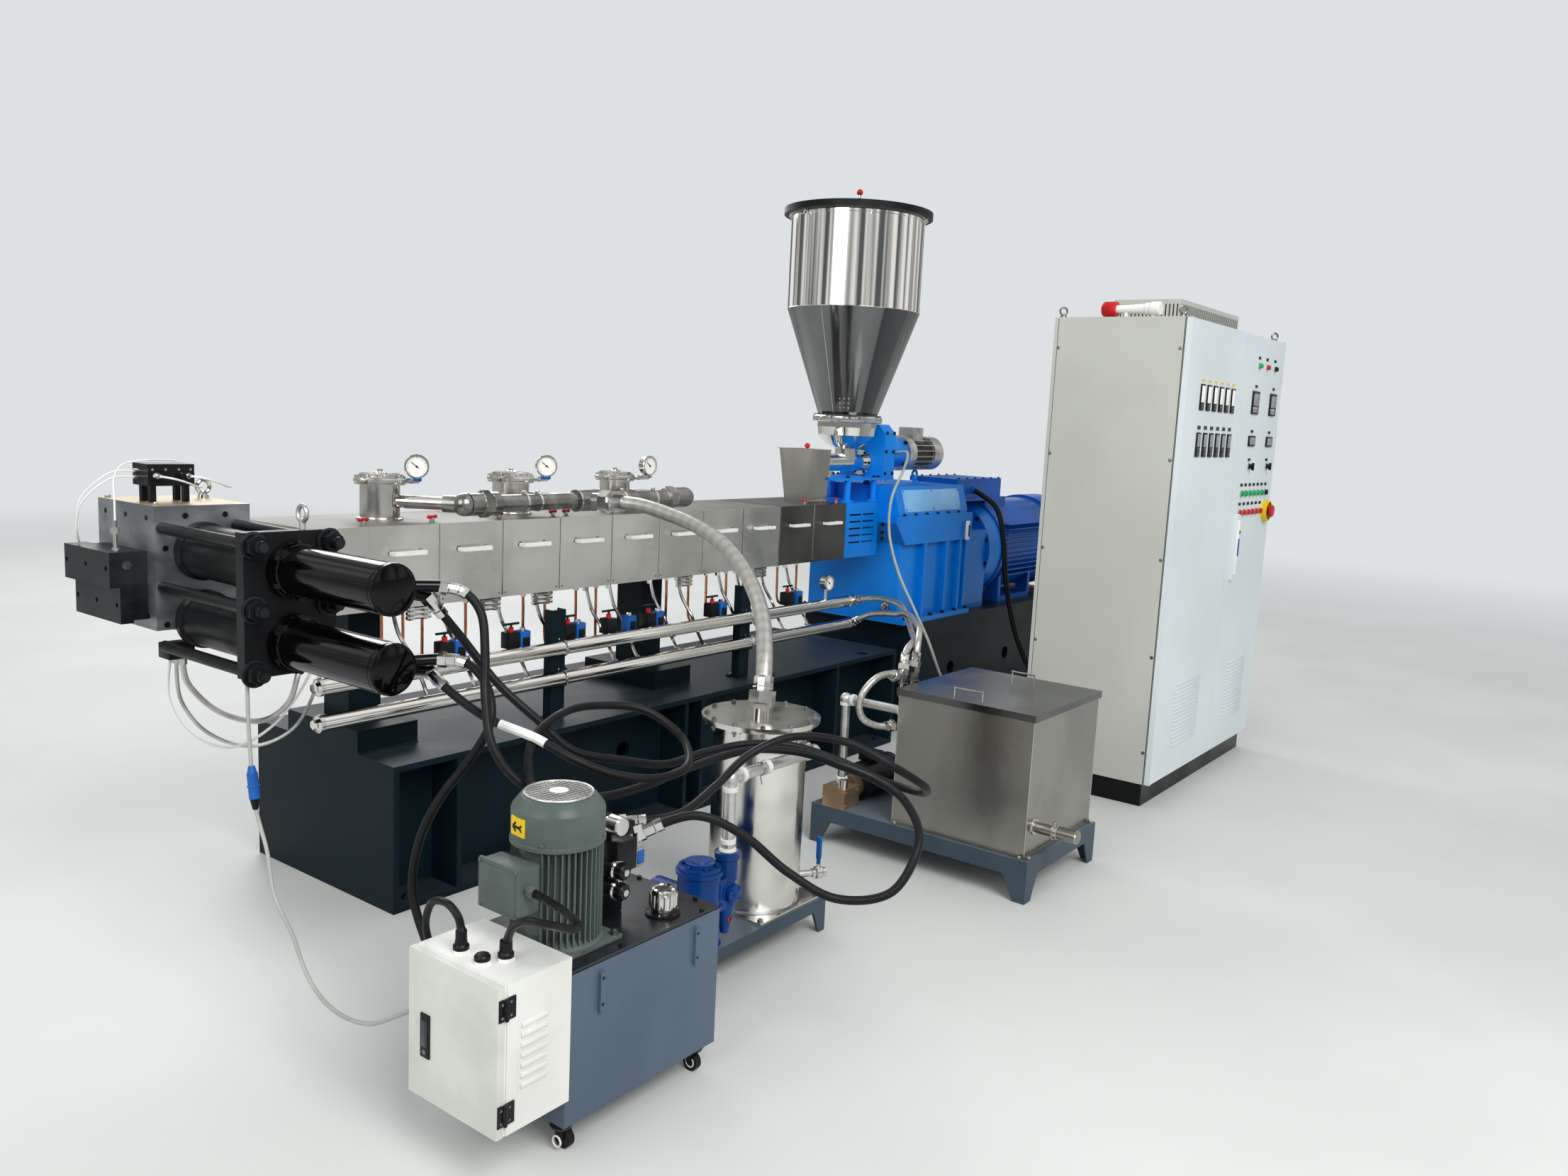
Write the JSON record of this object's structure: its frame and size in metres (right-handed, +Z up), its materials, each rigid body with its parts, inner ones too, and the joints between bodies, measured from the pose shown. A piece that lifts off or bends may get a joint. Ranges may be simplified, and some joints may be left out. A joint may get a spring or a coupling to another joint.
{
  "type": "plastic extruder",
  "caption": "Twin screw plastic extruder on a welded base with hopper, hydraulic screen changer, vacuum and water units and an electrical cabinet.",
  "frame": {"origin": "on the floor under the middle of the extruder's base frame", "axes": "+X along the screws from the die to the drive motor, +Y away from the side units and the cabinet, +Z up"},
  "size_m": [5.931, 2.4552, 2.674],
  "materials": {
    "base_paint": "satin dark grey-green",
    "machined_steel": "machined, oiled",
    "brushed_steel": "brushed",
    "black_paint": "gloss black",
    "polished_steel": "polished stainless",
    "blue_paint": "gloss blue",
    "motor_alloy": "cast",
    "lid_rubber": "matte",
    "grey_paint": "satin grey",
    "motor_paint": "satin grey-green",
    "chrome": "plated",
    "white_paint": "powder coat",
    "pump_paint": "gloss dark blue",
    "galvanised": "galvanised",
    "pump_bronze": "cast",
    "cabinet_paint": "textured powder coat",
    "hose_rubber": "matte",
    "braid": "braided stainless wire",
    "cable_sheath": "matte"
  },
  "bodies": {
    "plant": {"base_frame": "base_paint", "drive_platform": "base_paint", "barrel": "machined_steel", "barrel_covers": "brushed_steel", "head_cover": "brushed_steel", "screen_changer": "machined_steel", "strand_die": "machined_steel", "cylinder_plate": "black_paint", "cylinder_upper": "black_paint", "cylinder_lower": "black_paint", "changer_valve": "black_paint", "vent_dome_1": "polished_steel", "vent_dome_2": "polished_steel", "vent_dome_3": "polished_steel", "vacuum_manifold": "polished_steel", "feed_funnel": "brushed_steel", "feeder_stand": "blue_paint", "feeder_gearbox": "blue_paint", "feeder_motor": "motor_alloy", "feeder_bowl": "polished_steel", "hopper": "polished_steel", "hopper_lid": "lid_rubber", "coupling_guard": "blue_paint", "gearbox": "blue_paint", "main_motor": "blue_paint", "water_main_lower": "polished_steel", "water_main_upper": "polished_steel", "pipe_post_left": "base_paint", "pipe_post_right": "base_paint", "oil_tank": "grey_paint", "oil_motor": "motor_paint", "oil_valves": "black_paint", "filler_cap": "chrome", "control_box": "white_paint", "vacuum_stand": "base_paint", "catch_pot": "brushed_steel", "catch_pot_lid": "brushed_steel", "vacuum_pump": "pump_paint", "vacuum_pipe": "galvanised", "water_stand": "base_paint", "water_tank": "brushed_steel", "water_tank_lid": "brushed_steel", "water_pump": "pump_bronze", "suction_pipe": "galvanised", "cabinet": "cabinet_paint", "oil_hose_upper": "hose_rubber", "oil_hose_upper_back": "hose_rubber", "oil_hose_lower": "hose_rubber", "oil_hose_lower_back": "hose_rubber", "vacuum_hose": "braid", "water_hose_upper": "braid", "water_hose_lower": "braid", "water_hose_back": "braid", "conduit_hose": "hose_rubber", "sensor_cable": "hose_rubber", "feeder_cable": "cable_sheath", "motor_cable": "hose_rubber"},
    "cabinet_leaf_left": {"cabinet_door_left": "cabinet_paint"},
    "cabinet_leaf_right": {"cabinet_door_right": "cabinet_paint"},
    "box_leaf": {"control_box_door": "white_paint"}
  },
  "joints": [
    {"name": "cabinet_left_hinge", "type": "hinge", "parent": "plant", "child": "cabinet_leaf_left", "pos_m": [1.339, -1.746, 1.095], "axis": [0, 0, -1], "range_deg": [0, 115]},
    {"name": "cabinet_right_hinge", "type": "hinge", "parent": "plant", "child": "cabinet_leaf_right", "pos_m": [2.723, -1.746, 1.095], "axis": [0, 0, 1], "range_deg": [0, 115]},
    {"name": "control_box_hinge", "type": "hinge", "parent": "plant", "child": "box_leaf", "pos_m": [-2.176, -1.726, 0.3], "axis": [0, 0, 1], "range_deg": [0, 120]}
  ]
}
